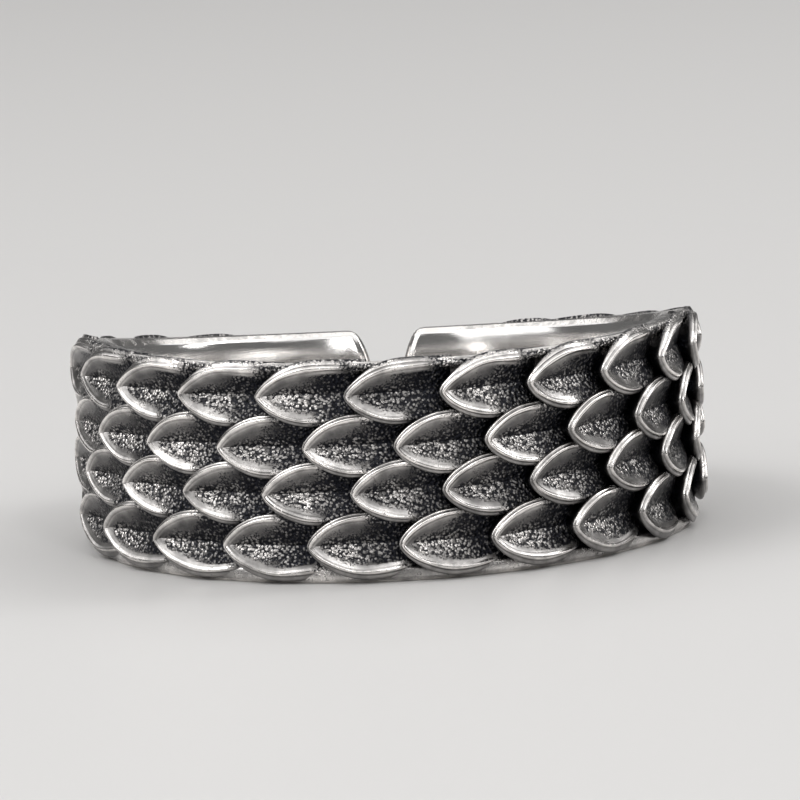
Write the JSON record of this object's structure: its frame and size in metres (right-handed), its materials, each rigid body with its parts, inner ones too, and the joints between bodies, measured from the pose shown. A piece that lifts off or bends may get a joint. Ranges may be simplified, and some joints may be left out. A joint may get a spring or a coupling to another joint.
{
  "type": "adjustable open ring",
  "caption": "Open finger ring: a band of overlapping pointed scales that narrows towards two rounded free ends, which spring apart to fit the finger.",
  "frame": {"origin": "on the finger hole's axis, on the plane of the lower rim that the ring lies on", "axes": "+Z along the finger hole, up as the ring lies on its side; the front of the band faces -Y and the opening between the free ends is at +Y"},
  "size_m": [0.0216, 0.0212, 0.0076],
  "materials": {
    "silver": "cast silver, darkened in the hollows and polished on the scale edges and inside"
  },
  "bodies": {
    "root": {"ring": "silver"}
  },
  "joints": []
}
